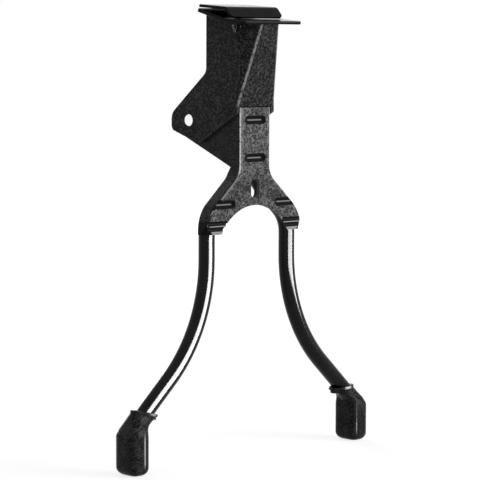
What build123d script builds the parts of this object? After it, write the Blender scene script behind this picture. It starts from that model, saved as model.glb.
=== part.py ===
import os
from math import atan2, cos, degrees, hypot, radians, sin, tan

from build123d import *

# Two-leg bicycle stand that clamps under the chainstays, shown with its legs down.
# X is across the bicycle, Y points to its rear and Z is up. The origin is the clamp seat:
# the top face of the base plate on the axis of the clamp bolt. Millimetres and degrees.

# Overall stance
seat_height = 299.3
foot_spread = 201.0
fold_angle = 100.0

# Clamp
clamp_pitch = 10.0
base_width = 53.6
base_ahead = 36.2
base_behind = 11.4
base_sheet = 2.2
base_corner = 3.0
base_hole_d = 11.0
jaw_width = 47.0
jaw_length = 27.0
jaw_sheet = 2.0
jaw_pitch = 4.0
jaw_rise = 2.4
jaw_lip_length = 4.9
jaw_lip_angle = 58.0
jaw_bend = 2.6
jaw_corner = 1.6
jaw_collar_d = 11.0
jaw_collar_height = 0.6
jaw_travel = 18.0
bolt_d = 8.0
bolt_head_af = 13.0
bolt_head_height = 5.3
bolt_head_face = 12.5
bolt_chamfer = 0.8
washer_d = 16.0
washer_sheet = 1.6
lock_washer_d = 14.8
lock_washer_sheet = 2.0
lock_washer_slit = 1.4
thread_gap = 0.05
washer_gap = 0.2
washer_clear = 1.0

# Bracket, a folded channel whose front leans out under the base plate
bracket_sheet = 2.5
front_y = -18.6
front_edge_z = -62.5
prow_reach = 14.2
prow_width = 15.5
bracket_rear_y = 12.2
bracket_fold = 3.4
cheek_step = 3.8
ear_reach = 17.7
ear_rise = 4.3
ear_drop = 6.6
ear_slope = 38.7
ear_foot_slope = 17.9
ear_foot_y = 20.0
ear_shoulder_r = 9.0
ear_corner_r = 4.0
ear_neck_r = 7.0
window_width = 9.0
window_height = 5.0
window_y = -16.6
window_top_gap = 3.4
window_corner = 1.0

# Pivot and stop
pivot_y = 29.9
pivot_z = -72.7
pivot_d = 8.0
pivot_head_d = 12.0
pivot_head_height = 1.6
pivot_proud = 0.4
stop_pin_d = 5.0
stop_pin_drop = 1.7
stop_pin_proud = 0.7
pin_gap = 0.04
running_gap = 0.1
stop_gap = 0.1

# Yoke, a pressing that wraps the two leg rods
yoke_sheet = 2.2
yoke_wall = 2.0
yoke_top_gap = 0.7
yoke_side_gap = 0.25
yoke_fold = 2.0
arm_wrap_rise = 17.0
arm_neck_z = -107.7
arm_angle = 47.1
arm_end_z = -146.5
arm_wall_depth = 11.0
arm_wall_end_depth = 8.0
arch_top_z = -128.3
arch_r = 33.7
gusset_foot_y = -9.2
gusset_foot_z = -102.8
gusset_slope = 21.2
gusset_foot_drop = 4.0
gusset_boss_r = 13.0
slot_width = 7.4
slot_length = 13.8
slot_z = -117.3
press_depth = 1.4
press_length = 19.4
press_height = 6.2
press_floor = 1.6
channel_press_z = (-71.5, -96.7)
arm_press_z = -127.0
arm_press_x = 27.2
band_z = (-139.2, -142.9)
band_r = 1.6
band_depth = 1.1
band_overrun = 4.0

# Legs, bent round bar
rod_d = 11.0
rod_gap = 0.1
rod_split = 1.7
rod_bend = 22.0
leg_track = 73.0
leg_plain = 17.3
leg_splay = 46.5
ankle_height = 30.5
ankle_bend = 20.0
rod_end_chamfer = 1.0

# Feet, moulded rubber boots
foot_width = 15.8
foot_length = 21.0
foot_corner = 4.5
foot_sole = 4.5
foot_sole_round = 5.0
foot_inset = 1.0
foot_block_height = 17.0
foot_lean = 1.75
foot_sections = 5
foot_mouth_height = 40.5
foot_mouth_width = 19.0
foot_mouth_length = 14.0
foot_mouth_corner = 6.6
foot_mouth_shift = 1.4
foot_lip = 0.6
foot_lip_height = 1.6
foot_gap = 0.05

# Toggle spring, hooked between the stop pin and a pin in the yoke
spring_wire = 2.0
spring_coil_d = 10.0
spring_arm = 9.5
spring_pin_d = 5.0
spring_turns = 11
spring_coil_pitch = 2.06
spring_hook_gap = 0.05
spring_near_wrap = 120.0
spring_far_wrap = 215.0
spring_coil_lag = 8.0

# Worked-out places
ground_z = -seat_height
rod_r = rod_d / 2
rod_y = front_y + yoke_sheet + rod_gap + rod_r
rod_x = rod_split / 2 + rod_r
yoke_half = rod_x + rod_r + rod_gap + yoke_wall
bracket_inner = yoke_half + yoke_side_gap
bracket_half = bracket_inner + bracket_sheet
yoke_top_z = front_edge_z - yoke_top_gap
stop_z = front_edge_z - stop_pin_drop
rod_top_z = stop_z - stop_pin_d / 2 - stop_gap
wall_reach = rod_r + rod_gap + yoke_wall
leg_x = leg_track / 2
foot_x = foot_spread / 2
ankle_x = foot_x - foot_inset
ankle_z = ground_z + ankle_height
hip_z = ankle_z + (ankle_x - leg_x) / tan(radians(leg_splay))
leg_sweep_r = (arm_end_z - leg_plain - hip_z) / tan(radians(leg_splay) / 2)
sides = (-1, 1)


def at_side(solid, side):
    """The right-hand solid itself, or its mirror image on the left."""
    return solid if side > 0 else mirror(solid, about=Plane.YZ)


def side_plane(x=0.0):
    """Sketch plane of the side view: sketch axes are Y and Z."""
    return Plane(origin=(x, 0, 0), x_dir=(0, 1, 0), z_dir=(1, 0, 0))


def front_plane(y):
    """Sketch plane of the front view: sketch axes are X and Z, extruding towards the rear is negative."""
    return Plane(origin=(0, y, 0), x_dir=(1, 0, 0), z_dir=(0, -1, 0))


def cross_bar(diameter, y, z, length):
    """Round bar along X, centred on the middle plane."""
    return Location((0, y, z), (0, 90, 0)) * Cylinder(diameter / 2, length)


def under_base(y):
    """Height of the base plate's lower face at a given Y."""
    return y * tan(radians(clamp_pitch)) - base_sheet / cos(radians(clamp_pitch))


def save(name, solid):
    solid.label = name
    export_step(solid, f"parts/{name}.step")


# Base plate, welded across the bracket
def base_plate():
    length = base_ahead + base_behind
    plate = extrude(RectangleRounded(base_width, length, base_corner), -base_sheet)
    plate = Location((0, (base_behind - base_ahead) / 2, 0)) * plate
    plate -= Cylinder(base_hole_d / 2, 4 * base_sheet)
    return Rotation(clamp_pitch, 0, 0) * plate


# Upper clamp plate with a turned-down front lip and a tapped collar, on the bolt's own axis
def jaw_frame():
    return Rotation(jaw_pitch, 0, 0) * Location((0, 0, jaw_rise))


def clamp_plate():
    half = jaw_length / 2
    lip = radians(jaw_lip_angle)
    rear = (half, jaw_sheet / 2)
    front = (-half, jaw_sheet / 2)
    tip = (front[0] - jaw_lip_length * cos(lip), front[1] - jaw_lip_length * sin(lip))
    section = trace(FilletPolyline(rear, front, tip, radius=jaw_bend), jaw_sheet)
    plate = extrude(side_plane() * section, jaw_width / 2, both=True)
    ends = plate.edges().filter_by(lambda e: abs(e.length - jaw_sheet) < 0.2 and abs(e.center().X) > 1)
    plate = fillet(ends, jaw_corner)
    plate += Location((0, 0, -jaw_collar_height / 2)) * Cylinder(jaw_collar_d / 2, jaw_collar_height)
    plate -= Cylinder(bolt_d / 2 + thread_gap, 8 * jaw_sheet)
    return jaw_frame() * plate


# Clamp bolt and its washers hang from the tapped plate and can rise until they meet the base plate
washer_top = -jaw_rise - base_sheet / cos(radians(clamp_pitch - jaw_pitch)) - washer_clear - jaw_travel


def clamp_bolt():
    head_top = washer_top - washer_sheet - lock_washer_sheet
    hexagon = RegularPolygon(bolt_head_af / 2, 6, major_radius=False)
    head = extrude(hexagon, -bolt_head_height)
    head &= Location((0, 0, -bolt_head_height)) * Cone(
        bolt_head_face / 2, bolt_head_face / 2 + bolt_head_height, bolt_head_height,
        align=(Align.CENTER, Align.CENTER, Align.MIN))
    shank_length = jaw_sheet - head_top
    shank = Cylinder(bolt_d / 2, shank_length, align=(Align.CENTER, Align.CENTER, Align.MIN))
    shank = chamfer(shank.edges().group_by(Axis.Z)[-1], bolt_chamfer)
    return jaw_frame() * Location((0, 0, head_top)) * (head + shank)


def washer():
    ring = Circle(washer_d / 2) - Circle(bolt_d / 2 + washer_gap)
    return jaw_frame() * Location((0, 0, washer_top)) * extrude(ring, -washer_sheet)


def lock_washer():
    ring = Circle(lock_washer_d / 2) - Circle(bolt_d / 2 + washer_gap)
    ring -= Location((lock_washer_d / 2, 0)) * Rectangle(lock_washer_d, lock_washer_slit)
    return jaw_frame() * Location((0, 0, washer_top - washer_sheet)) * extrude(ring, -lock_washer_sheet)


# Bracket: the side view gives ears and lean, the plan gives the tapering prow, the cavity makes it sheet
lean = prow_reach / (under_base(front_y - prow_reach) - front_edge_z)


def front_line(z, inset=0.0):
    """Y of the leaning front face at a height, moved rearwards by an inset square to the face."""
    return front_y - lean * (z - front_edge_z) + inset * hypot(1, lean)


def bracket_side():
    top_front = front_line(under_base(front_y - prow_reach))
    ear_rear = pivot_y + ear_reach
    slant = tan(radians(ear_slope))
    neck_z = pivot_z + ear_rise + slant * ear_reach + slant * (pivot_y - bracket_rear_y)
    ear_low = pivot_z - ear_drop
    foot_z = ear_low - tan(radians(ear_foot_slope)) * (ear_rear - ear_foot_y)
    outline = Polyline(
        (front_y, front_edge_z - cheek_step),
        (front_y, front_edge_z),
        (top_front, under_base(top_front)),
        (bracket_rear_y, under_base(bracket_rear_y)),
        (bracket_rear_y, neck_z),
        (ear_rear, pivot_z + ear_rise),
        (ear_rear, ear_low),
        (ear_foot_y, foot_z),
        close=True)
    side = make_face(outline)
    corners = ((bracket_rear_y, neck_z, ear_neck_r), (ear_rear, pivot_z + ear_rise, ear_shoulder_r),
               (ear_rear, ear_low, ear_corner_r), (ear_foot_y, foot_z, ear_corner_r))
    for y, z, radius in corners:
        corner = side.vertices().sort_by_distance((y, z, 0))[0]
        side = fillet(corner, radius)
    return side


def bracket_plan(inset):
    rear = pivot_y + 3 * ear_reach
    half = bracket_half
    nose = prow_width / 2
    tip = front_y - prow_reach
    outline = make_face(Polyline(
        (-half, rear), (-half, front_y), (-nose, tip),
        (nose, tip), (half, front_y), (half, rear), close=True))
    return offset(outline, -inset, kind=Kind.INTERSECTION) if inset else outline


def bracket():
    tall = 2 * seat_height
    body = extrude(side_plane() * bracket_side(), bracket_half, both=True)
    body &= Location((0, 0, -seat_height)) * extrude(bracket_plan(0), tall)
    folds = body.edges().filter_by(
        lambda e: e.center().Y < front_y - 1 and abs(e.center().X) > 1 and e.length > 30)
    body = fillet(folds, bracket_fold)

    low, high, behind = -seat_height, base_width, pivot_y + 3 * ear_reach
    ahead = front_y - prow_reach
    cavity = make_face(Polyline(
        (ahead, low), (ahead, front_edge_z), (front_line(front_edge_z, bracket_sheet), front_edge_z),
        (front_line(high, bracket_sheet), high), (behind, high), (behind, low), close=True))
    hollow = extrude(side_plane() * cavity, bracket_inner, both=True)
    hollow &= Location((0, 0, -seat_height)) * extrude(bracket_plan(bracket_sheet), tall)
    mouth = Pos(0, front_y, front_edge_z) * Box(
        2 * bracket_inner, 2 * prow_reach, seat_height, align=(Align.CENTER, Align.CENTER, Align.MAX))
    body -= hollow + mouth

    body -= cross_bar(pivot_d + 2 * pin_gap, pivot_y, pivot_z, 4 * bracket_half)
    body -= cross_bar(stop_pin_d + 2 * pin_gap, rod_y, stop_z, 4 * bracket_half)
    window_top = under_base(window_y) - window_top_gap
    window = make_face(Polyline(
        (window_y - window_width / 2, window_top), (window_y + window_width / 2, window_top),
        (window_y + window_width / 8, window_top - window_height),
        (window_y - window_width / 8, window_top - window_height), close=True))
    window = fillet(window.vertices(), window_corner)
    body -= extrude(side_plane() * window, 2 * bracket_half, both=True)
    return body


# Stub rivets carry the yoke's walls inside the bracket's ears
def pivot_rivet(side):
    outer = bracket_half + pivot_proud
    inner = yoke_half - yoke_wall - running_gap
    shank = Cylinder(pivot_d / 2, outer - inner + pivot_head_height,
                     align=(Align.CENTER, Align.CENTER, Align.MAX))
    shank = chamfer(shank.edges().group_by(Axis.Z)[-1], pivot_proud)
    head = Cylinder(pivot_head_d / 2, pivot_head_height, align=(Align.CENTER, Align.CENTER, Align.MIN))
    head = chamfer(head.edges().group_by(Axis.Z)[0], pivot_head_height / 3)
    rivet = shank + Location((0, 0, inner - outer - pivot_head_height)) * head
    return at_side(Location((outer, pivot_y, pivot_z), (0, 90, 0)) * rivet, side)


def stop_pin():
    pin = cross_bar(stop_pin_d, rod_y, stop_z, 2 * (bracket_half + stop_pin_proud))
    return chamfer(pin.edges().filter_by(GeomType.CIRCLE), stop_pin_proud)


# Leg rod: down the channel, out along the yoke's arm, down, then swept out to the ankle
def leg_points():
    slope = tan(radians(arm_angle))
    neck_z = arm_neck_z - rod_offset_drop()
    knee_z = neck_z - (leg_x - rod_x) / slope
    return [(rod_x, rod_top_z), (rod_x, neck_z), (leg_x, knee_z), (leg_x, hip_z), (ankle_x, ankle_z),
            (ankle_x, ground_z + foot_sole)]


def rod_offset_drop():
    """Drop from the wall's neck corner to the rod's own, which keeps the rod evenly inside the wall."""
    return (wall_reach - (yoke_half - rod_x) * cos(radians(arm_angle))) / sin(radians(arm_angle))


def leg(side):
    path = FilletPolyline(*leg_points(), radius=[rod_bend, rod_bend, leg_sweep_r, ankle_bend])
    path = front_plane(rod_y) * path
    start = Plane(origin=path @ 0, z_dir=path % 0)
    rod = sweep(start * Circle(rod_r), path=path)
    ends = rod.edges().filter_by(GeomType.CIRCLE).sort_by(Axis.Z)
    rod = chamfer([ends[0], ends[-1]], rod_end_chamfer)
    return at_side(rod, side)


# Yoke
def arm_outline():
    """Front view of the pressing without the arch: channel, shoulders and arm ends."""
    shoulder_x = leg_x + wall_reach
    shoulder_z = arm_neck_z - (shoulder_x - yoke_half) / tan(radians(arm_angle))
    below = shoulder_z - rod_bend - wall_reach
    right = [(yoke_half, yoke_top_z), (yoke_half, arm_neck_z), (shoulder_x, shoulder_z), (shoulder_x, below)]
    left = [(-x, z) for x, z in reversed(right)]
    outline = make_face(Polyline(*right, *left, close=True))
    for side in sides:
        neck = outline.vertices().sort_by_distance((side * yoke_half, arm_neck_z, 0))[0]
        outline = fillet(neck, rod_bend - wall_reach)
        shoulder = outline.vertices().sort_by_distance((side * shoulder_x, shoulder_z, 0))[0]
        outline = fillet(shoulder, rod_bend + wall_reach)
    tall = yoke_top_z - arm_end_z
    return outline & Location((0, arm_end_z + tall / 2)) * Rectangle(4 * shoulder_x, tall)


def wall_side():
    """Side view of the yoke's walls: the gusset to the pivot and the strip along the arms."""
    rear = front_y + arm_wall_depth
    end_rear = front_y + arm_wall_end_depth
    wall_top = rod_top_z
    rise = radians(gusset_slope)
    boss = Location((pivot_y, pivot_z)) * Circle(gusset_boss_r)
    touch = (pivot_y + gusset_boss_r * sin(rise), pivot_z - gusset_boss_r * cos(rise))
    gusset = make_face(Polyline(
        (front_y, wall_top), (rod_y + rod_r, wall_top), (pivot_y, pivot_z + gusset_boss_r), touch,
        (gusset_foot_y, gusset_foot_z), (rear, gusset_foot_z - gusset_foot_drop), (rear, arch_top_z),
        (end_rear, arm_end_z), (front_y, arm_end_z), close=True))
    return gusset + boss


def press_cut(x, z, length, y=front_y):
    """Tapered obround groove, pressed into the front face."""
    floor_length = length - press_height + press_floor
    mouth = front_plane(y - 0.01) * Location((x, z)) * SlotOverall(length, press_height)
    floor = front_plane(y + press_depth) * Location((x, z)) * SlotOverall(floor_length, press_floor)
    return loft([mouth, floor])


def arm_wrap(side, reach):
    """Front corner of an arm outside a cone round the rod, which closes on the rod towards the arm's end."""
    corner = Pos(leg_x, rod_y, arm_end_z) * Box(
        2 * reach, 2 * reach, arm_wrap_rise, align=(Align.MIN, Align.MAX, Align.MIN))
    wrap = Pos(leg_x, rod_y, arm_end_z) * Cone(
        reach, reach * hypot(1, 1), arm_wrap_rise, align=(Align.CENTER, Align.CENTER, Align.MIN))
    return at_side(corner - wrap, side)


def yoke():
    outline = arm_outline()
    arch = Location((0, arch_top_z - arch_r)) * Circle(arch_r)
    deep = pivot_y + 2 * ear_reach - front_y
    blank = extrude(front_plane(front_y) * outline, -deep)
    folds = blank.edges().filter_by(
        lambda e: abs(e.center().Y - front_y) < 0.01 and abs(e.center().X) > 1)
    blank = fillet(folds, yoke_fold)

    inside = offset(outline, -yoke_wall, kind=Kind.INTERSECTION)
    channel = Location((0, yoke_top_z)) * Rectangle(2 * (yoke_half - yoke_wall), 6 * yoke_wall)
    shoulder_x = leg_x + wall_reach
    ends = Location((0, arm_end_z)) * Rectangle(2 * (shoulder_x - yoke_wall), 4 * yoke_wall)
    hollow = extrude(front_plane(front_y + yoke_sheet) * (inside + channel + ends), -deep)
    for side in sides:
        hollow -= arm_wrap(side, rod_r + rod_gap)
    walls = extrude(side_plane() * wall_side(), 2 * foot_x, both=True)

    front = blank & extrude(front_plane(front_y) * Rectangle(4 * foot_x, 4 * seat_height), -yoke_sheet)
    body = front + (blank & walls) - hollow
    body -= extrude(front_plane(front_y) * arch, -deep)
    slot = Location((0, slot_z), (0, 0, 90)) * SlotOverall(slot_length, slot_width)
    body -= extrude(front_plane(front_y) * slot, -deep)
    body -= cross_bar(pivot_d + 2 * running_gap, pivot_y, pivot_z, 4 * yoke_half)
    spring_y, spring_z = spring_pin_place()
    body -= cross_bar(spring_pin_d + 2 * pin_gap, spring_y, spring_z, 4 * yoke_half)
    return body


def yoke_pressed():
    body = yoke()
    for z in channel_press_z:
        body -= press_cut(0, z, press_length)
    for side in sides:
        body -= arm_wrap(side, rod_y - front_y)
        body -= press_cut(side * arm_press_x, arm_press_z, press_length)
        for z in band_z:
            body -= Location((side * leg_x, front_y - band_r + band_depth, z), (0, 90, 0)) * Cylinder(
                band_r, 2 * (wall_reach + band_overrun))
    return body


# Feet: an upright block whose section slides inwards and widens as it climbs to the lipped mouth
def foot_section(share, block_top, lip_z):
    """Section of the boot's shoulder, from the block at share 0 to the mouth at share 1."""
    mouth_x = ankle_x + foot_mouth_shift - (foot_mouth_height - ankle_height) * tan(radians(leg_splay))
    swell = share * share * (3 - 2 * share)

    def between(low, high):
        return low + (high - low) * swell

    section = RectangleRounded(between(foot_width, foot_mouth_width), between(foot_length, foot_mouth_length),
                               between(foot_corner, foot_mouth_corner))
    x = foot_x + (mouth_x - foot_x) * share ** foot_lean
    return Location((x, rod_y, block_top + (lip_z - block_top) * share)) * section


def foot(side):
    block_top = ground_z + foot_block_height
    lip_z = ground_z + foot_mouth_height - foot_lip_height
    block, *rest = [foot_section(n / (foot_sections - 1), block_top, lip_z) for n in range(foot_sections)]
    boot = extrude(block, -foot_block_height)
    boot = fillet(boot.edges().group_by(Axis.Z)[0], foot_sole_round)
    boot += loft([block, *rest])
    boot += extrude(offset(rest[-1], foot_lip), foot_lip_height)
    path = front_plane(rod_y) * FilletPolyline(*leg_points()[3:], radius=[ankle_bend])
    start = Plane(origin=path @ 0, z_dir=path % 0)
    boot -= sweep(start * Circle(rod_r + foot_gap), path=path)
    return at_side(boot, side)


# Toggle spring: its pin in the yoke is as far from the stop pin with the legs folded as with them down
def spring_pin_place():
    line = atan2(pivot_z - stop_z, pivot_y - rod_y)
    start = line - radians(fold_angle) / 2
    return pivot_y + spring_arm * cos(start), pivot_z + spring_arm * sin(start)


def spring_pin():
    y, z = spring_pin_place()
    return cross_bar(spring_pin_d, y, z, 2 * yoke_half)


def spring_hook(pin_d, height, up, wrap):
    """Hook round a pin that continues in a straight wire to the coil, in the spring's own frame."""
    coil_r = (spring_coil_d - spring_wire) / 2
    centre = up * (coil_r - spring_wire / 2 - pin_d / 2 - spring_hook_gap)

    def on_loop(turn):
        return -coil_r * cos(radians(turn)), centre - up * coil_r * sin(radians(turn))

    path = ThreePointArc(on_loop(wrap), on_loop(wrap / 2), on_loop(0))
    path += Line(on_loop(0), (-coil_r, up * height))
    path = side_plane() * path
    wire = Plane(origin=path @ 0, z_dir=path % 0) * Circle(spring_wire / 2)
    return sweep(wire, path=path)


def spring():
    y, z = spring_pin_place()
    span = hypot(y - rod_y, z - stop_z)
    coil_length = spring_turns * spring_coil_pitch
    coil_r = (spring_coil_d - spring_wire) / 2
    low = (span - coil_length) / 2
    helix = Helix(spring_coil_pitch, coil_length, coil_r, center=(0, 0, low))
    turn = Plane(origin=helix @ 0, z_dir=helix % 0) * Circle(spring_wire / 2)
    coil = Rotation(0, 0, spring_coil_lag - 90) * sweep(turn, path=helix, is_frenet=True)
    near = spring_hook(stop_pin_d, low + spring_wire / 2, 1, spring_near_wrap)
    far = Location((0, 0, span)) * spring_hook(spring_pin_d, low + spring_wire / 2, -1, spring_far_wrap)
    whole = coil + near + far
    lie = degrees(atan2(z - stop_z, y - rod_y))
    return Location((0, rod_y, stop_z)) * Rotation(lie - 90, 0, 0) * whole


def main():
    os.makedirs("parts", exist_ok=True)
    save("bracket", bracket())
    save("base_plate", base_plate())
    save("clamp_plate", clamp_plate())
    save("clamp_bolt", clamp_bolt())
    save("washer", washer())
    save("lock_washer", lock_washer())
    save("stop_pin", stop_pin())
    save("yoke", yoke_pressed())
    save("spring_pin", spring_pin())
    save("toggle_spring", spring())
    for side, word in ((-1, "left"), (1, "right")):
        save(f"pivot_rivet_{word}", pivot_rivet(side))
        save(f"leg_{word}", leg(side))
        save(f"foot_{word}", foot(side))


main()
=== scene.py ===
import math

import bmesh
import bpy
import numpy as np
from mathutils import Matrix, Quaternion, Vector


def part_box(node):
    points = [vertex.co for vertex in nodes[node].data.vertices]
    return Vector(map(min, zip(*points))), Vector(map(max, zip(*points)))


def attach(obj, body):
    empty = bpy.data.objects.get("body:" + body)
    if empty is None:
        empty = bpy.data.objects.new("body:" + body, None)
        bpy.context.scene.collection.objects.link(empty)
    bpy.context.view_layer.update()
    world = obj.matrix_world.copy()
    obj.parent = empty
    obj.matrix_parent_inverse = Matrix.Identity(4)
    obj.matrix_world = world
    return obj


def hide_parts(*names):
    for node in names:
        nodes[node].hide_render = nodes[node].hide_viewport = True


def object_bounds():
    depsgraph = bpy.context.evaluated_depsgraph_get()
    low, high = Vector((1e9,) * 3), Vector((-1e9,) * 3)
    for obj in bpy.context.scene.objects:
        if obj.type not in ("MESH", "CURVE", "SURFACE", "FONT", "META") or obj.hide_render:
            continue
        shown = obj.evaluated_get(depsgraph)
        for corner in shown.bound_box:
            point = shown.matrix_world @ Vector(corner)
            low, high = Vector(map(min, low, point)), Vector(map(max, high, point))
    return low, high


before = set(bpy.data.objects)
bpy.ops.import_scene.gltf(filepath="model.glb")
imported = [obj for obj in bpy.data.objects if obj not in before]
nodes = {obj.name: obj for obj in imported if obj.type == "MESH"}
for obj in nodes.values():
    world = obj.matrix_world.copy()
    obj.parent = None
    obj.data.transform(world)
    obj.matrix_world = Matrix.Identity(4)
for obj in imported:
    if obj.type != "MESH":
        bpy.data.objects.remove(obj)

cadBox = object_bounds()
mm = 0.001
print("stand loaded:", len(nodes), "pieces")


# Shader maths: a Wire is one socket, and sums on it become Math nodes
class Wire:
    def __init__(self, tree, socket):
        self.tree, self.socket = tree, socket

    def maths(self, operation, *values):
        return self.node("ShaderNodeMath", {"operation": operation}, dict(enumerate(values)), 0)

    def node(self, kind, settings, inputs, output):
        made = self.tree.nodes.new(kind)
        for key, value in settings.items():
            setattr(made, key, value)
        for key, value in inputs.items():
            if isinstance(value, Wire):
                self.tree.links.new(value.socket, made.inputs[key])
            else:
                made.inputs[key].default_value = value
        return Wire(self.tree, made.outputs[output])

    def __add__(self, other): return self.maths("ADD", self, other)
    def __radd__(self, other): return self.maths("ADD", other, self)
    def __sub__(self, other): return self.maths("SUBTRACT", self, other)
    def __rsub__(self, other): return self.maths("SUBTRACT", other, self)
    def __mul__(self, other): return self.maths("MULTIPLY", self, other)
    def __truediv__(self, other): return self.maths("DIVIDE", self, other)
    def __abs__(self): return self.maths("ABSOLUTE", self)

    def step(self, low, high):  # soft step from 0 at low to 1 at high
        return self.node("ShaderNodeMapRange", {"interpolation_type": "SMOOTHSTEP"},
                         {"Value": self, "From Min": low, "From Max": high}, "Result")

    def band(self, low, high, soft):  # 1 between low and high, fading over soft beyond them
        return self.step(low - soft, low) * (1.0 - self.step(high, high + soft))

    def noise(self, scale, detail=2.0, roughness=0.5):
        return self.node("ShaderNodeTexNoise", {"noise_dimensions": "3D"},
                         {"Vector": self, "Scale": scale, "Detail": detail, "Roughness": roughness}, "Fac")

    def axis(self, name):
        return self.node("ShaderNodeSeparateXYZ", {}, {"Vector": self}, name)

    def between(self, low, high):  # colour between two colours or wires, by this wire
        low, high = (tone if isinstance(tone, Wire) else (*tone, 1) for tone in (low, high))
        colourA, colourB, result = 6, 7, 2  # the Mix node's colour sockets share their names with others
        return self.node("ShaderNodeMix", {"data_type": "RGBA"}, {"Factor": self, colourA: low, colourB: high}, result)


def newFinish(name, **fixed):
    # an empty finish: its shader, and a wire on Object coordinates
    finish = bpy.data.materials.new(name)
    finish.use_nodes = True
    tree = finish.node_tree
    shader = tree.nodes["Principled BSDF"]
    for key, value in fixed.items():
        shader.inputs[key.replace("_", " ")].default_value = value
    place = Wire(tree, tree.nodes.new("ShaderNodeTexCoord").outputs["Object"])
    return finish, shader, place


def feed(shader, wire, socket):
    wire.tree.links.new(wire.socket, shader.inputs[socket])


def bump(shader, wire, depth):
    feed(shader, wire.node("ShaderNodeBump", {}, {"Height": wire, "Distance": depth, "Strength": 1.0},
                           "Normal"), "Normal")


def speckled(look, grain, fine, mottle):
    # hard specks of two sizes, lighter and darker in soft clouds
    share = look["grainShare"]
    specks = grain.step(*look["specks"]) * share + fine.step(*look["specks"]) * (1 - share)
    return specks * (look["cloudLow"] + mottle.step(*look["clouds"]) * look["cloudMore"])


# Bracket: satin black with fine grain, with a painted highlight along the two slanting folds of its prow
bracketLook = {
    "deep": (0.001, 0.001, 0.0011), "dusty": (0.084, 0.084, 0.085), "paintedLight": (0.30, 0.30, 0.304),
    "specular": 0.06, "rough": 0.42, "relief": 0.08 * mm,
    "mottle": (90, 4, 0.6), "grain": (640, 3, 0.65), "fine": (1200, 2, 0.6), "chips": (0.3, 0.55),
    "specks": (0.50, 0.56), "grainShare": 0.65, "clouds": (0.38, 0.62), "cloudLow": 0.8, "cloudMore": 0.42,
    "foldX": 16.7 * mm, "foldTop": 7.75 * mm, "lowZ": -62.5 * mm, "highZ": -8.0 * mm, "lowY": -18.6 * mm,
    "highY": -32.8 * mm, "foldWidth": 1.15 * mm, "foldSoft": (0.35, 1.0), "foldSkin": (1.2, 2.0),
    "foldEnd": (-0.02, 0.04), "lessRight": 0.75,
    "litHem": (0.085, 0.085, 0.086), "hemZ": -66.3 * mm, "hemSlope": -0.567, "hemRear": 19.0 * mm,
    "hemSoft": (0.3, 0.7),
    "cut": (0.9, 0.9, 0.9), "cutX": (14.5 * mm, 16.5 * mm), "cutY": (-17.5 * mm, -11.5 * mm),
    "cutZ": (-16.0 * mm, -5.5 * mm), "cutSoft": 0.1 * mm}


def makeBracketPaint():
    look = bracketLook
    finish, shader, place = newFinish("bracketPaint", Specular_IOR_Level=look["specular"])
    mottle, grain, fine = (place.noise(*look[layer]) for layer in ("mottle", "grain", "fine"))
    x, y, z = (place.axis(name) for name in "XYZ")
    chips = grain.step(*look["chips"])
    # along the prow's fold X and Y run straight from the lower corner to the upper one
    climb = (z - look["lowZ"]) / (look["highZ"] - look["lowZ"])
    foldX = look["foldX"] + climb * (look["foldTop"] - look["foldX"])
    foldY = look["lowY"] + climb * (look["highY"] - look["lowY"])
    # painted highlight: a pale line along each fold, broken by the grain and weaker on the right fold
    beside = abs(abs(x) - foldX + look["foldWidth"] / 2)
    line = 1.0 - (beside / look["foldWidth"]).step(*look["foldSoft"])
    skin = 1.0 - ((y - foldY) / mm).step(*look["foldSkin"])
    worn = line * skin * chips * climb.step(*look["foldEnd"])
    worn = worn * (1.0 - x.step(0.0, mm) * look["lessRight"])
    dust = speckled(look, grain, fine, mottle)
    colour = worn.between(dust.between(look["deep"], look["dusty"]), look["paintedLight"])
    # the window's punched edge inside the thickness of the sheet is coloured near white, as bare steel and as a
    # painted highlight for the glints seen in the window
    cut = abs(x).band(*look["cutX"], look["cutSoft"]) * y.band(*look["cutY"], mm) * z.band(*look["cutZ"], mm)
    colour = cut.between(colour, look["cut"])
    # painted light along the cheeks' lower edge, which lies in shade; the edge falls straight to the rear
    hemLine = look["hemZ"] + (y - look["lowY"]) * look["hemSlope"]
    litHem = 1.0 - (abs(z - hemLine) / mm).step(*look["hemSoft"])
    litHem = litHem * (1.0 - y.step(look["hemRear"], look["hemRear"] + mm))
    colour = (litHem * chips).between(colour, look["litHem"])
    feed(shader, colour, "Base Color")
    feed(shader, look["rough"] + (grain - 0.5) * 0.25 + (mottle - 0.5) * 0.1, "Roughness")
    bump(shader, grain * 0.6 + fine * 0.5, look["relief"])
    return finish


# Clamp plates: gloss black, which mirrors the room where a face is seen edge-on
clampLook = {"deep": (0.002, 0.002, 0.0022), "dusty": (0.008, 0.008, 0.0082), "specular": 0.05, "rough": 0.08,
             "relief": 0.01 * mm, "mottle": (120, 4, 0.6), "grain": (800, 3, 0.65)}


def makeClampPaint():
    look = clampLook
    finish, shader, place = newFinish("clampPaint", Specular_IOR_Level=look["specular"])
    mottle, grain = place.noise(*look["mottle"]), place.noise(*look["grain"])
    dust = mottle.step(0.35, 0.7) * 0.45 + grain.step(0.38, 0.66) * 0.55
    feed(shader, dust.between(look["deep"], look["dusty"]), "Base Color")
    feed(shader, look["rough"] + mottle * 0.05 + grain.step(0.5, 0.7) * 0.05, "Roughness")
    bump(shader, grain, look["relief"])
    return finish
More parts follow.
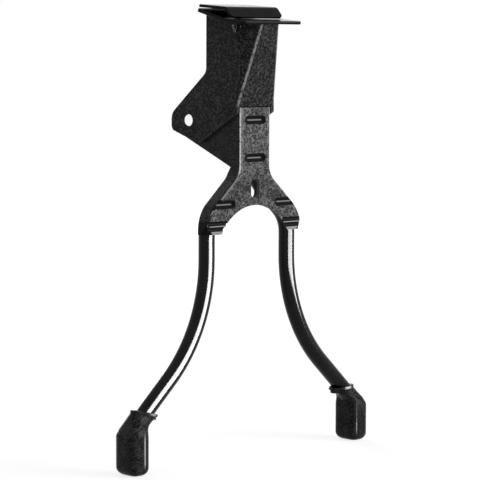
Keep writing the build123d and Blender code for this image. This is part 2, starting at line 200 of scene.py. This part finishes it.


# Yoke: grey on the front face, partly a sanded finish and partly painted sheen; painted shade in black in and round
# the pressed grooves and on the walls behind the folds.
# Lengths here are in mm; a groove is its height, its own reach from X to X and that of its painted highlight bar
yokeLook = {
    "frontY": -18.6, "half": 13.95, "neckZ": -107.7, "spread": 1.076, "shoulder": 44.1, "bandTop": -137.6,
    "grooves": ((-71.5, 0, 12, 0, 5.8), (-96.7, 0, 12, 0, 5.8), (-127.0, 15, 40, 21, 33.3)),
    "grooveEdge": (3.2, 3.5), "grooveLip": (0.06, 0.25), "floor": (1.2, 1.5, 0.1), "barHalf": 0.25,
    "slotZ": -117.3, "slotTall": 7.0, "slotWide": 4.0, "slotDepth": (0.2, 2.0, 0.2),
    "specular": 0.06, "rough": 0.40, "relief": 0.12 * mm,
    "mottle": (160, 4, 0.6), "grain": (720, 3, 0.68), "fine": (1300, 2, 0.6),
    "specks": (0.49, 0.54), "grainShare": 0.62, "clouds": (0.40, 0.60), "cloudLow": 0.7, "cloudMore": 0.6,
    "dark": (0.003, 0.003, 0.0032), "shadedWallSpeck": (0.066, 0.066, 0.067), "grey": (0.004, 0.004, 0.0042),
    "pale": (0.215, 0.215, 0.218), "bare": (0.55, 0.55, 0.56), "line": (0.16, 0.16, 0.163),
    "bar": (0.25, 0.25, 0.254), "ridgeHighlight": (0.34, 0.34, 0.345), "creaseHighlight": (0.95, 0.95, 0.96), "armCrease": 0.28,
    "creaseDepth": (0.3, 0.8, 0.2), "rim": 0.15, "rimBand": (-2.7, -1.7, 0.3), "foldFrom": (-2.7, -1.9),
    "frontDepth": (0.08, 0.4), "crest": (0.05, 0.22), "crotch": (-123.0, -113.0), "crotchSoft": 5.0, "lessLow": 0.30}


def makeYokePaint():
    look = yokeLook
    finish, shader, place = newFinish("yokePaint", Specular_IOR_Level=look["specular"])
    mottle, grain, fine = (place.noise(*look[layer]) for layer in ("mottle", "grain", "fine"))
    wide = abs(place.axis("X")) / mm
    high = place.axis("Z") / mm
    depth = place.axis("Y") / mm - look["frontY"]
    # half width of the pressing at a height: the channel, then the spreading arms, then their ends
    arms = high.maths("MINIMUM", look["half"] + (look["neckZ"] - high) * look["spread"], look["shoulder"])
    beside = wide - arms.maths("MAXIMUM", arms, look["half"])
    speckle = speckled(look, grain, fine, mottle)
    lower = 1.0 - high.band(*look["crotch"], look["crotchSoft"]) * look["lessLow"]
    # the front face is grey, partly a sanded finish and partly painted sheen; the walls behind the folds are black as
    # painted shade
    front = (speckle * lower).between(look["grey"], look["pale"])
    walls = speckle.between(look["dark"], look["shadedWallSpeck"])
    paintedLight = 1.0 - (depth + (grain - 0.5) * 0.3).step(*look["frontDepth"])
    colour = paintedLight.between(walls, front)
    # the gripping bands at the arms' ends: painted shade in black over the bands, with a painted highlight on the
    # ridges
    ends = 1.0 - high.step(look["bandTop"] - 0.3, look["bandTop"])
    crest = 1.0 - depth.step(*look["crest"])
    colour = ends.between(colour, look["dark"])
    colour = (ends * crest * grain.step(0.1, 0.5)).between(colour, look["ridgeHighlight"])
    # painted highlight: a faint pale line on the front face beside the fold
    rim = beside.band(*look["rimBand"]) * paintedLight * grain.step(0.35, 0.55)
    colour = (rim * look["rim"]).between(colour, look["bare"])
    # painted highlight on the fold, bright along the channel and weaker along the arms
    bright = look["armCrease"] + high.step(look["neckZ"] - 1, look["neckZ"] + 3) * (1 - look["armCrease"])
    creaseHighlight = beside.step(*look["foldFrom"]) * depth.band(*look["creaseDepth"]) * grain.step(0.25, 0.5) * bright
    colour = creaseHighlight.between(colour, look["creaseHighlight"])
    for grooveZ, fromX, toX, barFrom, barTo in look["grooves"]:
        off = abs(high - grooveZ)
        reach = wide.step(fromX - 0.5, fromX) * (1.0 - wide.step(toX, toX + 0.5))
        # painted shade: black in each groove and in a thin band round it
        hollow = (1.0 - off.step(*look["grooveEdge"])) * depth.step(*look["grooveLip"]) * reach
        colour = hollow.between(colour, look["dark"])
        # the painted highlight bar on the groove's floor stops short of the groove's ends
        bar = wide.step(barFrom - 0.5, barFrom) * (1.0 - wide.step(barTo, barTo + 0.5))
        bar = bar * (1.0 - off.step(look["barHalf"], look["barHalf"] + 0.3))
        colour = (bar * depth.band(*look["floor"])).between(colour, look["bar"])
    slot = 1.0 - wide.step(look["slotWide"], look["slotWide"] + 0.3)
    slot = slot * (1.0 - abs(high - look["slotZ"]).step(look["slotTall"], look["slotTall"] + 0.3))
    colour = (slot * depth.band(*look["slotDepth"])).between(colour, look["line"])
    feed(shader, colour, "Base Color")
    feed(shader, look["rough"] + (grain - 0.5) * 0.35, "Roughness")
    bump(shader, grain * 0.7 + fine * 0.4, look["relief"])
    return finish


# Legs: hard gloss enamel
legLook = {"deep": (0.0005, 0.0005, 0.0006), "thin": (0.012, 0.012, 0.0123), "specular": 0.12, "rough": 0.10,
           "relief": 0.02 * mm, "run": (60, 3), "fine": (1100, 3, 0.65), "wave": (120, 1)}


def makeLegEnamel():
    look = legLook
    finish, shader, place = newFinish("legEnamel", Specular_IOR_Level=look["specular"])
    run, fine = place.noise(*look["run"]), place.noise(*look["fine"])
    cloud = run.step(0.3, 0.75) * 0.4 + fine.step(0.4, 0.68) * 0.6
    feed(shader, cloud.between(look["deep"], look["thin"]), "Base Color")
    feed(shader, look["rough"] + run * 0.03 + fine.step(0.55, 0.75) * 0.015, "Roughness")
    bump(shader, place.noise(*look["wave"]), look["relief"])
    return finish


# Boots: moulded rubber with a soft bloom, pale where the mesh's seam attribute marks it: a mould seam that is also a
# painted highlight, and a painted highlight on the lip
rubberLook = {"deep": (0.004, 0.004, 0.0043), "bloom": (0.064, 0.064, 0.065), "seam": (0.7, 0.7, 0.71),
              "specular": 0.05, "rough": 0.20, "relief": 0.03 * mm, "mottle": (110, 4, 0.6), "grain": (850, 3, 0.65)}


def makeFootRubber():
    look = rubberLook
    finish, shader, place = newFinish("footRubber", Specular_IOR_Level=look["specular"])
    mottle, grain = place.noise(*look["mottle"]), place.noise(*look["grain"])
    bloom = mottle.step(0.38, 0.7) * 0.35 + grain.step(0.46, 0.62) * 0.65
    seam = place.node("ShaderNodeAttribute", {"attribute_name": "seam"}, {}, "Fac")
    rubber = bloom.between(look["deep"], look["bloom"])
    feed(shader, (seam * grain.step(0.25, 0.45)).between(rubber, look["seam"]), "Base Color")
    feed(shader, look["rough"] + (grain - 0.5) * 0.12 + mottle * 0.06, "Roughness")
    bump(shader, grain, look["relief"])
    return finish


# Fasteners: bright zinc plate
zincLook = {"dull": (0.84, 0.845, 0.85), "clear": (0.98, 0.98, 0.975), "rough": 0.10, "relief": 0.02 * mm,
            "cloud": (220, 3, 0.6), "fine": (2400, 2)}


def makeZinc():
    look = zincLook
    finish, shader, place = newFinish("zincPlate", Metallic=1.0)
    cloud, fine = place.noise(*look["cloud"]), place.noise(*look["fine"])
    feed(shader, (cloud * 0.7 + fine * 0.3).step(0.3, 0.7).between(look["dull"], look["clear"]), "Base Color")
    feed(shader, look["rough"] + cloud * 0.16, "Roughness")
    bump(shader, fine, look["relief"])
    return finish


# Toggle spring: dark oiled steel
springLook = {"deep": (0.10, 0.10, 0.105), "worn": (0.26, 0.26, 0.265), "rough": 0.3, "relief": 0.02 * mm,
              "cloud": (300, 3, 0.6), "fine": (1500, 2)}


def makeSpringSteel():
    look = springLook
    finish, shader, place = newFinish("springSteel", Metallic=1.0)
    cloud = place.noise(*look["cloud"])
    feed(shader, cloud.step(0.3, 0.7).between(look["deep"], look["worn"]), "Base Color")
    feed(shader, look["rough"] + cloud * 0.2, "Roughness")
    bump(shader, place.noise(*look["fine"]), look["relief"])
    return finish


finishes = {
    "bracket": makeBracketPaint(), "clamp": makeClampPaint(), "yoke": makeYokePaint(), "leg": makeLegEnamel(),
    "foot": makeFootRubber(), "zinc": makeZinc(), "spring": makeSpringSteel()}
# what wears anything but zinc
wearing = {"bracket": "bracket", "base_plate": "clamp", "clamp_plate": "clamp", "yoke": "yoke",
           "leg_left": "leg", "leg_right": "leg", "foot_left": "foot", "foot_right": "foot",
           "toggle_spring": "spring", "stop_pin": "bracket"}
for name, piece in nodes.items():
    piece.data.materials.clear()
    piece.data.materials.append(finishes[wearing.get(name, "zinc")])
print("finishes on:", ", ".join(sorted(finishes)))


def meshFrom(name, points, finish, body, sharp=180, marks=None):
    # rows of points run round the piece; the first and last rows are poles, or lie on each other, so it is closed
    rows, around = points.shape[:2]
    index = np.arange(rows * around).reshape(rows, around)
    turned = np.roll(index, -1, axis=1)
    quads = np.stack([index[:-1], turned[:-1], turned[1:], index[1:]], axis=-1).reshape(-1, 4)
    mesh = bpy.data.meshes.new(name)
    mesh.from_pydata(points.reshape(-1, 3).tolist(), [], quads.tolist())
    for mark, values in (marks or {}).items():
        mesh.attributes.new(mark, "FLOAT", "POINT").data.foreach_set("value", values.ravel())
    work = bmesh.new()
    work.from_mesh(mesh)
    bmesh.ops.remove_doubles(work, verts=work.verts, dist=1e-7)  # closes the poles and seams
    bmesh.ops.recalc_face_normals(work, faces=work.faces)
    work.to_mesh(mesh)
    work.free()
    mesh.shade_smooth()
    mesh.set_sharp_from_angle(angle=math.radians(sharp))
    mesh.materials.append(finish)
    piece = bpy.data.objects.new(name, mesh)
    bpy.context.scene.collection.objects.link(piece)
    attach(piece, body)
    return piece


def smooth(t):
    t = np.clip(t, 0, 1)
    return t * t * (3 - 2 * t)


# Boots: a rounded-box section that slides inwards and turns oval as it climbs to the rolled mouth
bootLook = {
    "around": 240, "soleRows": 10, "wallRows": 100, "lipRows": 12, "soleRing": 0.6,
    "blockHalf": 7.9 * mm, "soleRound": 5.2 * mm, "shoulder": 25 * mm, "slant": 1.35, "flareFrom": 27 * mm,
    "flare": 2.2, "mouthHalf": 9.3 * mm, "mouthDeep": 6.5 * mm, "mouthIn": 0.8 * mm, "boxy": 3.6, "oval": 2.5,
    "lip": 0.5 * mm, "lipTall": 1.7 * mm, "rodHalf": 7.4 * mm, "rodDeep": 5.2 * mm, "rodShift": 1.9 * mm,
    "well": 4 * mm, "wellRim": 0.5 * mm, "wellDrop": 0.1 * mm,
    "creaseMid": 33 * mm, "creaseTilt": 7 * mm, "creaseWide": 0.9 * mm, "creaseDeep": 0.035,
    "seamLow": 4.5 * mm, "seamHigh": 31 * mm, "highFade": 8 * mm, "brightFade": 5 * mm, "seamFaint": 0.3,
    "seamWide": 0.032, "markWide": 0.24,
    -1: {"tipTurn": 2.1 * mm, "tipDrop": 0.5 * mm, "seamTurn": 4.625, "seamBright": 28 * mm, "markTurn": 4.45,
         "markStrong": 0.55},
    1: {"tipTurn": 0.7 * mm, "tipDrop": 1.6 * mm, "seamTurn": 4.363, "seamBright": 17 * mm, "markTurn": 4.76,
        "markStrong": 1.0}}


def makeBoot(node, side):
    look, own = bootLook, bootLook[side]
    low, high = (np.array(corner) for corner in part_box(node))
    width = look["blockHalf"]
    tall = high[2] - low[2]
    outer = high[0] if side > 0 else -low[0]
    inner = low[0] if side > 0 else -high[0]
    mouthX = inner + look["mouthIn"] + look["mouthHalf"] + look["lip"]
    deep = (high[1] - low[1]) / 2
    roundR = look["soleRound"]
    lipLow = tall - look["lipTall"]
    quarter = np.linspace(0, np.pi / 2, look["soleRows"])
    lipTurn = np.linspace(0, np.pi, look["lipRows"])[1:-1]
    climb = np.linspace(roundR, lipLow, look["wallRows"])[1:]
    # height, inset from the wall and share of the way to the mouth, row by row up the outside
    height = np.concatenate([[0, 0], roundR * (1 - np.cos(quarter)), climb])
    inset = np.concatenate([[width, width * look["soleRing"]], roundR * (1 - np.sin(quarter)), 0 * climb])
    share = np.clip((height - look["shoulder"]) / (lipLow - look["shoulder"]), 0, 1)
    spread = np.clip((height - look["flareFrom"]) / (lipLow - look["flareFrom"]), 0, 1) ** look["flare"]
    swell = smooth(share)
    # the outer wall slants in above the shoulder, the inner wall flares out to the mouth
    outerX = outer + (mouthX + look["mouthHalf"] - outer) * share ** look["slant"]
    innerX = outer - 2 * width + (mouthX - look["mouthHalf"] - outer + 2 * width) * spread
    half = (outerX - innerX) / 2 - inset
    long = deep + (look["mouthDeep"] - deep) * swell - inset * np.where(height > 0, 1, deep / width)
    middle = (outerX + innerX) / 2
    power = look["boxy"] + (look["oval"] - look["boxy"]) * swell
    # rolled lip, then the well that closes on the leg rod
    lipOut = look["lip"] * np.sin(lipTurn)
    lipUp = lipLow + look["lipTall"] * (1 - np.cos(lipTurn)) / 2
    wellHalf = np.array([look["rodHalf"] + look["wellRim"], look["rodHalf"], 0])
    wellDeep = np.array([look["rodDeep"] + look["wellRim"], look["rodDeep"], 0])
    wellUp = np.array([tall - look["wellDrop"], tall - look["well"], tall - look["well"]])
    height = np.concatenate([height, lipUp, wellUp])
    half = np.concatenate([half, look["mouthHalf"] + 0 * lipOut, wellHalf])
    long = np.concatenate([long, look["mouthDeep"] + 0 * lipOut, wellDeep])
    roll = np.concatenate([0 * share, lipOut, 0 * wellUp])
    middle = np.concatenate([middle, 0 * lipUp + mouthX, 0 * wellUp + mouthX - look["rodShift"]])
    power = np.concatenate([power, 0 * lipUp + look["oval"], 0 * wellUp + 2])
    angle = np.linspace(0, 2 * np.pi, look["around"], endpoint=False)[None, :]
    # crease where the slanting sleeve meets the block: a bell-shaped dip about a tilted plane
    plane = look["creaseMid"] - look["creaseTilt"] * np.cos(angle)
    dip = np.exp(-((height[:, None] - plane) / look["creaseWide"]) ** 2) * (height < lipLow)[:, None]
    draw = 1 - look["creaseDeep"] * dip
    rolled = roll[:, None] * ((1 - np.cos(angle)) / 2) ** 2  # the lip stands out on the inner side
    wide, deepest = draw * half[:, None] + rolled, draw * long[:, None] + rolled
    # superellipse: each coordinate is its half size times cosine or sine raised to two over the power
    bend = (2 / power)[:, None]
    x = middle[:, None] + wide * np.sign(np.cos(angle)) * np.abs(np.cos(angle)) ** bend
    y = (low[1] + high[1]) / 2 + deepest * np.sign(np.sin(angle)) * np.abs(np.sin(angle)) ** bend
    # the mouth's plane tips up on the outer side
    tip = smooth((height - look["flareFrom"]) / (lipLow - look["flareFrom"]))[:, None]
    z = low[2] + height[:, None] + tip * (own["tipTurn"] * np.cos(angle) - own["tipDrop"])
    # mould seam up the front of the boot, coloured pale as a painted highlight: a bell in the angle, bright low down
    # and faint above
    faint = look["seamFaint"] * smooth((look["seamHigh"] - height) / look["highFade"])
    bright = (1 - look["seamFaint"]) * smooth((own["seamBright"] - height) / look["brightFade"])
    rise = smooth(height / look["seamLow"] - 1) * (faint + bright)
    seam = rise[:, None] * np.exp(-((angle - own["seamTurn"]) / look["seamWide"]) ** 2)
    # painted highlight on the lip: a flatter bell, on the lip's rows alone
    mark = own["markStrong"] * np.exp(-((angle - own["markTurn"]) / look["markWide"]) ** 4)
    seam = np.maximum(seam, smooth(roll / look["lip"] * 2)[:, None] * mark)
    boot = meshFrom("boot_" + node.split("_")[1], np.stack([side * x, y, z], axis=-1), finishes["foot"], "stand",
                    marks={"seam": seam})
    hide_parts(node)


for node, side in (("foot_left", -1), ("foot_right", 1)):
    makeBoot(node, side)
print("boots moulded")


# Clamp bolt: a hexagon head, a coarse thread whose radius rises and falls along a helix, and a turned tip
boltLook = {
    "pitch": 4.0, "rise": 2.4 * mm, "radius": 4.0 * mm, "thread": 1.25 * mm, "depth": 0.62 * mm, "plain": 1.2 * mm,
    "flats": 13.0 * mm, "headTall": 5.3 * mm, "headTop": -27.21 * mm, "chamfer": 0.9 * mm,
    "tip": 2.0 * mm, "tipStep": 0.1 * mm, "tipTaper": 0.8 * mm, "tipIn": 1.0 * mm, "around": 60, "rowsPerTurn": 8}


def makeBolt():
    look = boltLook
    around = np.linspace(0, 2 * np.pi, look["around"], endpoint=False)
    flat, radius, topZ, tipZ = look["flats"] / 2, look["radius"], look["headTop"], look["tip"]
    # a hexagon's radius is half its flats over the cosine of the angle from the nearest flat's middle
    hexagon = flat / np.cos((around + np.pi / 6) % (np.pi / 3) - np.pi / 6)
    lowZ = topZ - look["headTall"]
    head = [(lowZ, 0 * hexagon), (lowZ, np.minimum(hexagon, flat * 0.95)),
            (lowZ + look["chamfer"] * 0.6, np.minimum(hexagon, flat * 1.07)), (lowZ + look["chamfer"], hexagon),
            (topZ, hexagon), (topZ, 0 * hexagon + radius)]
    turns = (tipZ - topZ - look["plain"]) / look["thread"]
    rise = np.linspace(topZ + look["plain"], tipZ - look["tipStep"], int(turns * look["rowsPerTurn"]))
    # radius = crest less the depth times a triangle wave of height over pitch less the turn
    wave = np.abs(((rise[:, None] / look["thread"] - around[None, :] / (2 * np.pi)) % 1) * 2 - 1)
    fade = smooth(np.minimum(rise - rise[0], rise[-1] - rise) / look["thread"])[:, None]
    thread = radius - look["depth"] * (wave * fade + (1 - fade) * 0.5)
    thread = np.minimum(thread, radius - np.clip(rise - rise[-1] + look["tipTaper"], 0, None)[:, None])
    tip = [(tipZ, 0 * around + radius - look["tipIn"]), (tipZ, 0 * around)]
    heights = np.concatenate([[z for z, r in head], rise, [z for z, r in tip]])
    radii = np.concatenate([[r for z, r in head], thread, [r for z, r in tip]])
    x = radii * np.cos(around)[None, :]
    y = radii * np.sin(around)[None, :]
    z = heights[:, None] + look["rise"] + 0 * x
    lean = math.radians(look["pitch"])
    points = np.stack([x, y * math.cos(lean) - z * math.sin(lean), y * math.sin(lean) + z * math.cos(lean)], axis=-1)
    bolt = meshFrom("threadedBolt", points, finishes["zinc"], "clamp", sharp=40)
    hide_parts("clamp_bolt")


makeBolt()
print("bolt threaded")


# Clamp plates: flat blanks with round corners and a bolt hole, bent across and with softened edges
plateLook = {
    "base": {"node": "base_plate", "body": "bracket", "wide": 53.6 * mm, "ahead": 36.2 * mm, "behind": 11.4 * mm,
             "corner": 3.0 * mm, "thick": 2.2 * mm, "hole": 5.5 * mm, "edge": 0.5 * mm, "rearSlope": 14.3,
             "frontSlope": 5.2, "bendAt": -16.5 * mm, "bendLong": 6.0 * mm, "seat": (0.2 * mm, -1.25 * mm),
             "spot": {"radius": 8.7 * mm, "soft": 0.9 * mm, "z": -3.09 * mm, "rise": 0.07}},
    "jaw": {"node": "clamp_plate", "body": "clamp", "wide": 47.0 * mm, "ahead": 21.6 * mm, "behind": 13.5 * mm,
            "corner": 2.2 * mm, "thick": 2.0 * mm, "hole": 4.02 * mm, "edge": 0.45 * mm, "rearSlope": 4.0,
            "frontSlope": 48.5, "bendAt": -13.6 * mm, "bendLong": 3.2 * mm, "seat": (-0.24 * mm, 3.39 * mm)}}
plateRows = {"line": 800, "perCorner": 14, "rim": 200, "out": 40, "edge": 6}


def bentLine(look):
    # the sheet's middle line from rear to front: its slope swings from one angle to the other over the bend
    along = np.linspace(look["behind"], -look["ahead"], plateRows["line"])
    swing = smooth((look["bendAt"] - along) / look["bendLong"] + 0.5)
    slope = np.radians(look["rearSlope"] + (look["frontSlope"] - look["rearSlope"]) * swing)
    step = np.diff(along, prepend=along[0])
    y, z = np.cumsum(np.cos(slope) * step), np.cumsum(np.sin(slope) * step)
    seatAt = np.argmin(np.abs(along))
    return along, y - y[seatAt] + look["seat"][0], z - z[seatAt] + look["seat"][1], slope


def roundedRim(look):
    # corners are quarter circles and edges straight runs, taken round from the rear right corner
    halfX, halfY = look["wide"] / 2 - look["corner"], (look["ahead"] + look["behind"]) / 2 - look["corner"]
    middle = (look["behind"] - look["ahead"]) / 2
    quarter = np.linspace(0, np.pi / 2, plateRows["perCorner"])
    turns = np.concatenate([quarter + k * np.pi / 2 for k in range(4)])
    signX = np.repeat([1, -1, -1, 1], plateRows["perCorner"])
    signY = np.repeat([1, 1, -1, -1], plateRows["perCorner"])
    x = signX * halfX + look["corner"] * np.cos(turns)
    y = middle + signY * halfY + look["corner"] * np.sin(turns)
    x, y = np.append(x, x[0]), np.append(y, y[0])
    walk = np.concatenate([[0], np.cumsum(np.hypot(np.diff(x), np.diff(y)))])
    even = np.linspace(0, walk[-1], plateRows["rim"], endpoint=False)
    stops = np.unique(np.concatenate([walk[:-1], even]))
    return np.interp(stops, walk, x), np.interp(stops, walk, y)


def makePlate(name):
    look = plateLook[name]
    along, lineY, lineZ, slope = bentLine(look)
    rimX, rimY = roundedRim(look)
    reach = np.hypot(rimX, rimY)
    half, edge = look["thick"] / 2, look["edge"]
    quarter = np.linspace(0, np.pi / 2, plateRows["edge"])
    # rows run from the hole out over the top, round the softened rim, back under and up the hole's wall
    out = np.linspace(0, 1, plateRows["out"])[:-1]
    share = np.concatenate([out, np.ones(2 * len(quarter)), out[::-1], [0]])
    inset = edge * np.concatenate([0 * out + 1, 1 - np.sin(quarter), 1 - np.sin(quarter[::-1]), 0 * out + 1, [1]])
    level = np.concatenate([0 * out + half, half - edge * (1 - np.cos(quarter)),
                            edge * (1 - np.cos(quarter[::-1])) - half, 0 * out - half, [half]])
    span = look["hole"] + share[:, None] * (reach - inset[:, None] - look["hole"])
    x = span * rimX / reach
    flat = span * rimY / reach
    order = np.argsort(along)
    lean = np.interp(flat, along[order], slope[order])
    y = np.interp(flat, along[order], lineY[order]) - level[:, None] * np.sin(lean)
    z = np.interp(flat, along[order], lineZ[order]) + level[:, None] * np.cos(lean)
    if "spot" in look:  # a spot face under the hole, square to the bolt, where the washer seats
        spot = look["spot"]
        near = 1 - smooth((np.hypot(x, y) - spot["radius"]) / spot["soft"])
        cut = np.maximum(spot["z"] + spot["rise"] * y - z, 0) * near
        z = z + cut * (level < 0)[:, None]
    plate = meshFrom(name + "Plate", np.stack([x, y, z], axis=-1), finishes["clamp"], look["body"], 50)
    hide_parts(look["node"])


for name in plateLook:
    makePlate(name)
print("clamp plates bent")


# Slot collar: the rim that the punch turned back behind the yoke's slot
collarLook = {"middle": -117.3 * mm, "half": 3.75 * mm, "straight": 3.2 * mm, "wall": 0.5 * mm, "fromY": -17.4 * mm,
              "toY": -13.9 * mm, "around": 96}


def makeCollar():
    # the slot's outline is a half circle above and one below, and four such outlines make the wall's section
    turn = np.linspace(0, 2 * np.pi, collarLook["around"], endpoint=False)[None, :]
    outer, inner = collarLook["half"], collarLook["half"] - collarLook["wall"]
    radius = np.array([inner, outer, outer, inner, inner])[:, None]
    y = np.array([collarLook["fromY"], collarLook["fromY"], collarLook["toY"], collarLook["toY"], collarLook["fromY"]])
    x = radius * np.cos(turn)
    z = collarLook["middle"] + radius * np.sin(turn) + collarLook["straight"] * np.sign(np.sin(turn))
    meshFrom("slotCollar", np.stack([x, y[:, None] + 0 * x, z], axis=-1), finishes["yoke"], "stand", 40)


makeCollar()
print("slot collar turned")


# Weld beads: a round bead of overlapping ripples along each cheek's seam under the base plate
weldLook = {"radius": 1.15 * mm, "ripple": 0.16, "pool": 1.7 * mm, "fromY": -15.5 * mm, "toY": 11.2 * mm,
            "around": 20, "rows": 180, "blunt": 14, "wander": 0.12 * mm, "wanderTurns": 23, "sunk": 0.35}


def makeWeld(side):
    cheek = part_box("bracket")[1][0]
    along = np.linspace(0, 1, weldLook["rows"])
    length = weldLook["toY"] - weldLook["fromY"]
    y = weldLook["fromY"] + length * along
    _, lineY, lineZ, slope = bentLine(plateLook["base"])
    seam = np.interp(y, lineY[::-1], (lineZ - plateLook["base"]["thick"] / 2 / np.cos(slope))[::-1])
    # radius = bead radius, closed bluntly at both ends, times a ripple that leans one way
    ends = np.sqrt(np.clip(1 - np.abs(2 * along - 1) ** weldLook["blunt"], 0, 1))
    phase = (along * length / weldLook["pool"]) % 1
    radius = weldLook["radius"] * ends * (1 + weldLook["ripple"] * (phase ** 2 - 0.5))
    angle = np.linspace(0, 2 * np.pi, weldLook["around"], endpoint=False)[None, :]
    wander = weldLook["wander"] * np.sin(along * weldLook["wanderTurns"] + side)[:, None]
    x = side * (cheek + wander + radius[:, None] * np.cos(angle))
    z = seam[:, None] - weldLook["radius"] * weldLook["sunk"] + radius[:, None] * np.sin(angle)
    meshFrom("weld_" + ("left" if side < 0 else "right"), np.stack([x, y[:, None] + 0 * angle, z], axis=-1),
             finishes["clamp"], "bracket")


for side in (-1, 1):
    makeWeld(side)
print("welds laid")

# Floor and light
stageLook = {"floorZ": cadBox[0][2], "floorSize": 14.0, "floorColour": 0.32, "nearGlow": 0.775, "farGlow": 0.88,
            "nearBy": 0.35, "farOff": 2.5, "roomLight": 0.42}


def seenAsWhite(tree):
    # 1 for what the camera sees, straight, mirrored or through glass, and 0 for what lights the stand
    path = tree.nodes.new("ShaderNodeLightPath")
    seen = Wire(tree, path.outputs["Is Camera Ray"])
    for ray in ("Is Glossy Ray", "Is Transmission Ray"):
        seen = seen.maths("MAXIMUM", seen, Wire(tree, path.outputs[ray]))
    return seen


def makeFloor():
    half = stageLook["floorSize"] / 2
    mesh = bpy.data.meshes.new("studioFloor")
    z = stageLook["floorZ"]
    mesh.from_pydata([(-half, -half, z), (half, -half, z), (half, half, z), (-half, half, z)], [], [(0, 1, 2, 3)])
    floor = bpy.data.objects.new("studioFloor", mesh)
    bpy.context.scene.collection.objects.link(floor)
    paper, shader, place = newFinish("whitePaper", Roughness=0.9, Specular_IOR_Level=0.0, Emission_Strength=1)
    shader.inputs["Base Color"].default_value = (*(stageLook["floorColour"],) * 3, 1)
    # paper white is the same near the stand and far off, where the key lamp no longer reaches
    away = place.node("ShaderNodeVectorMath", {"operation": "LENGTH"}, {0: place}, "Value")
    glow = stageLook["nearGlow"] + away.step(stageLook["nearBy"], stageLook["farOff"]) * (
        stageLook["farGlow"] - stageLook["nearGlow"])
    feed(shader, seenAsWhite(place.tree) * glow, "Emission Color")
    mesh.materials.append(paper)


def makeWorld():
    world = bpy.data.worlds.new("whiteRoom")
    bpy.context.scene.world = world
    world.use_nodes = True
    tree = world.node_tree
    back = tree.nodes["Background"]
    back.inputs["Color"].default_value = (1, 1, 1, 1)
    strength = stageLook["roomLight"]
    feed(back, seenAsWhite(tree) * (1.0 - strength) + strength, "Strength")


# turn is from the front towards +X, z is the lamp's own height; the gloss panels shine on one leg each
lampLook = {
    "axis": (0, -0.02, -0.15),
    "keyBox": {"turn": 32, "away": 1.7, "z": 0.30, "size": (0.9, 1.1), "power": 24},
    "backFill": {"turn": 158, "away": 1.8, "z": 0.30, "size": (0.9, 0.9), "power": 15},
    "leftGloss": {"turn": 11, "away": 0.30, "z": -0.175, "size": (0.28, 0.25), "power": 21, "onto": "leg_left"},
    "rightGloss": {"turn": 18, "away": 0.42, "z": -0.220, "size": (0.50, 0.09), "power": 11, "onto": "leg_right"}}


def makeLamp(name):
    look = lampLook[name]
    lamp = bpy.data.lights.new(name, "AREA")
    lamp.shape, (lamp.size, lamp.size_y), lamp.energy = "RECTANGLE", look["size"], look["power"]
    shown = bpy.data.objects.new(name, lamp)
    bpy.context.scene.collection.objects.link(shown)
    turn = math.radians(look["turn"])
    aim = Vector(lampLook["axis"])
    shown.location = (aim.x + math.sin(turn) * look["away"], aim.y - math.cos(turn) * look["away"], look["z"])
    shown.visible_camera = False
    if "onto" in look:  # a strip of light for one enamelled rod: no glow on anything else
        aim.z = look["z"]
        shown.visible_diffuse = False
        lit = bpy.data.collections.new(name + "Lit")
        lit.objects.link(nodes[look["onto"]])
        shown.light_linking.receiver_collection = lit
    shown.rotation_euler = (aim - shown.location).to_track_quat("-Z", "Y").to_euler()


makeFloor()
makeWorld()
for name in ("keyBox", "backFill", "leftGloss", "rightGloss"):
    makeLamp(name)
print("stage and lamps set")

# Camera at the photograph's angle: level with the clamp, looking slightly down
cameraLook = {"azimuth": 43.0, "distance": 1.5, "height": -18.5 * mm, "pitch": 5.08, "turn": 0.385, "lens": 168.75,
              "axisY": -18.6 * mm, "roll": 0.2, "sensor": 36.0, "clip": (0.05, 50.0)}


def makeCamera():
    camera = bpy.data.cameras.new("photoCamera")
    camera.lens, camera.sensor_width, camera.sensor_fit = cameraLook["lens"], cameraLook["sensor"], "HORIZONTAL"
    camera.clip_start, camera.clip_end = cameraLook["clip"]
    shown = bpy.data.objects.new("photoCamera", camera)
    bpy.context.scene.collection.objects.link(shown)
    angle = math.radians(cameraLook["azimuth"])
    ahead = Vector((math.sin(angle), math.cos(angle), 0))
    shown.location = Vector((0, cameraLook["axisY"], cameraLook["height"])) - ahead * cameraLook["distance"]
    turn = angle - math.radians(cameraLook["turn"])
    pitch = math.radians(cameraLook["pitch"])
    look = Vector((math.sin(turn) * math.cos(pitch), math.cos(turn) * math.cos(pitch), -math.sin(pitch)))
    level = look.to_track_quat("-Z", "Y")
    shown.rotation_euler = (level @ Quaternion((0, 0, 1), math.radians(cameraLook["roll"]))).to_euler()
    bpy.context.scene.camera = shown


makeCamera()
bpy.context.scene.view_settings.view_transform = "Standard"
print("camera set")
